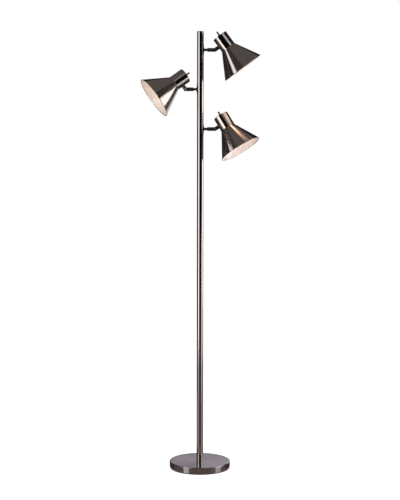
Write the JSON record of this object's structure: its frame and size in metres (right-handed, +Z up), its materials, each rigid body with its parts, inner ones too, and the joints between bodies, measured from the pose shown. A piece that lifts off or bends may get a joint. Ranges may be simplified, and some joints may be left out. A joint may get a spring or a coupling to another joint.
{
  "type": "tree floor lamp",
  "caption": "Floor lamp with a round weighted base, a slim pole and adjustable cone-shaped spot heads on short arms, each with its own turn switch.",
  "frame": {"origin": "centre of the base's flat underside, on the pole's axis", "axes": "+Z up along the pole; the upper and lower arms point along +X and the middle arm along -X; the cord inlet is at +Y"},
  "size_m": [0.454, 0.2365, 1.6812],
  "materials": {
    "cover_steel": "brushed nickel plate, satin",
    "pole_steel": "brushed nickel plate, satin",
    "shade_steel": "dark brushed nickel plate outside, white enamel inside",
    "arm_steel": "dark nickel plate",
    "weight_iron": "raw casting",
    "zinc_steel": "zinc plate",
    "pad": "foam rubber",
    "black_plastic": "moulded",
    "socket_plastic": "moulded phenolic",
    "knob_plastic": "moulded",
    "black_nut": "black oxide",
    "lead_sheath": "extruded",
    "brass": "stamped",
    "bulb_cap": "rolled thread",
    "bulb_glass": "frosted"
  },
  "bodies": {
    "root": {"base_cover": "cover_steel", "base_weight": "weight_iron", "base_pad": "pad", "base_washer": "zinc_steel", "base_lock_nut": "zinc_steel", "cord_bushing": "black_plastic", "pole_section_1": "pole_steel", "pole_section_2": "pole_steel", "pole_section_3": "pole_steel", "pole_section_4": "pole_steel", "pole_end_bushes": "zinc_steel", "pole_nipples": "zinc_steel", "pole_cap": "pole_steel", "supply_lead": "lead_sheath", "splice_sleeve": "black_plastic", "branch_leads": "lead_sheath", "arm_saddles": "arm_steel", "arm_necks": "arm_steel", "arm_lock_nuts": "zinc_steel", "swivel_washers": "zinc_steel"},
    "arm_upper": {"barrel_upper": "arm_steel", "knuckle_upper": "arm_steel", "pivot_screw_upper": "zinc_steel"},
    "head_upper": {"shade_upper": "shade_steel", "link_upper": "arm_steel", "link_nut_upper": "zinc_steel", "switch_body_upper": "black_plastic", "switch_nut_upper": "black_nut", "socket_body_upper": "socket_plastic", "socket_contacts_upper": "brass", "bulb_cap_upper": "bulb_cap", "bulb_glass_upper": "bulb_glass"},
    "knob_upper": {"switch_knob_upper": "knob_plastic"},
    "arm_middle": {"barrel_middle": "arm_steel", "knuckle_middle": "arm_steel", "pivot_screw_middle": "zinc_steel"},
    "head_middle": {"shade_middle": "shade_steel", "link_middle": "arm_steel", "link_nut_middle": "zinc_steel", "switch_body_middle": "black_plastic", "switch_nut_middle": "black_nut", "socket_body_middle": "socket_plastic", "socket_contacts_middle": "brass", "bulb_cap_middle": "bulb_cap", "bulb_glass_middle": "bulb_glass"},
    "knob_middle": {"switch_knob_middle": "knob_plastic"},
    "arm_lower": {"barrel_lower": "arm_steel", "knuckle_lower": "arm_steel", "pivot_screw_lower": "zinc_steel"},
    "head_lower": {"shade_lower": "shade_steel", "link_lower": "arm_steel", "link_nut_lower": "zinc_steel", "switch_body_lower": "black_plastic", "switch_nut_lower": "black_nut", "socket_body_lower": "socket_plastic", "socket_contacts_lower": "brass", "bulb_cap_lower": "bulb_cap", "bulb_glass_lower": "bulb_glass"},
    "knob_lower": {"switch_knob_lower": "knob_plastic"}
  },
  "joints": [
    {"name": "swivel_upper", "type": "hinge", "parent": "root", "child": "arm_upper", "pos_m": [0.0268, 0, 1.611], "axis": [1, 0, 0], "range_deg": [-160, 160]},
    {"name": "tilt_upper", "type": "hinge", "parent": "arm_upper", "child": "head_upper", "pos_m": [0.0556, 0, 1.611], "axis": [0, -1, 0], "range_deg": [-36.3, 33.7]},
    {"name": "switch_upper", "type": "hinge", "parent": "head_upper", "child": "knob_upper", "pos_m": [0.07203, 0, 1.66464], "axis": [-0.592, 0, 0.8059], "continuous": true},
    {"name": "swivel_middle", "type": "hinge", "parent": "root", "child": "arm_middle", "pos_m": [-0.0268, 0, 1.463], "axis": [-1, 0, 0], "range_deg": [-180, 140]},
    {"name": "tilt_middle", "type": "hinge", "parent": "arm_middle", "child": "head_middle", "pos_m": [-0.0556, 0, 1.463], "axis": [0, 0.9397, -0.342], "range_deg": [-52.8, 17.2]},
    {"name": "switch_middle", "type": "hinge", "parent": "head_middle", "child": "knob_middle", "pos_m": [-0.05612, 0.01919, 1.51571], "axis": [0.7965, 0.2068, 0.5681], "continuous": true},
    {"name": "swivel_lower", "type": "hinge", "parent": "root", "child": "arm_lower", "pos_m": [0.0268, 0, 1.313], "axis": [1, 0, 0], "range_deg": [-146.8, 173.2]},
    {"name": "tilt_lower", "type": "hinge", "parent": "arm_lower", "child": "head_lower", "pos_m": [0.0556, 0, 1.313], "axis": [0, -0.9736, 0.2284], "range_deg": [-30.6, 39.4]},
    {"name": "switch_lower", "type": "hinge", "parent": "head_lower", "child": "knob_lower", "pos_m": [0.07728, 0.01182, 1.36338], "axis": [-0.509, 0.1966, 0.838], "continuous": true}
  ]
}
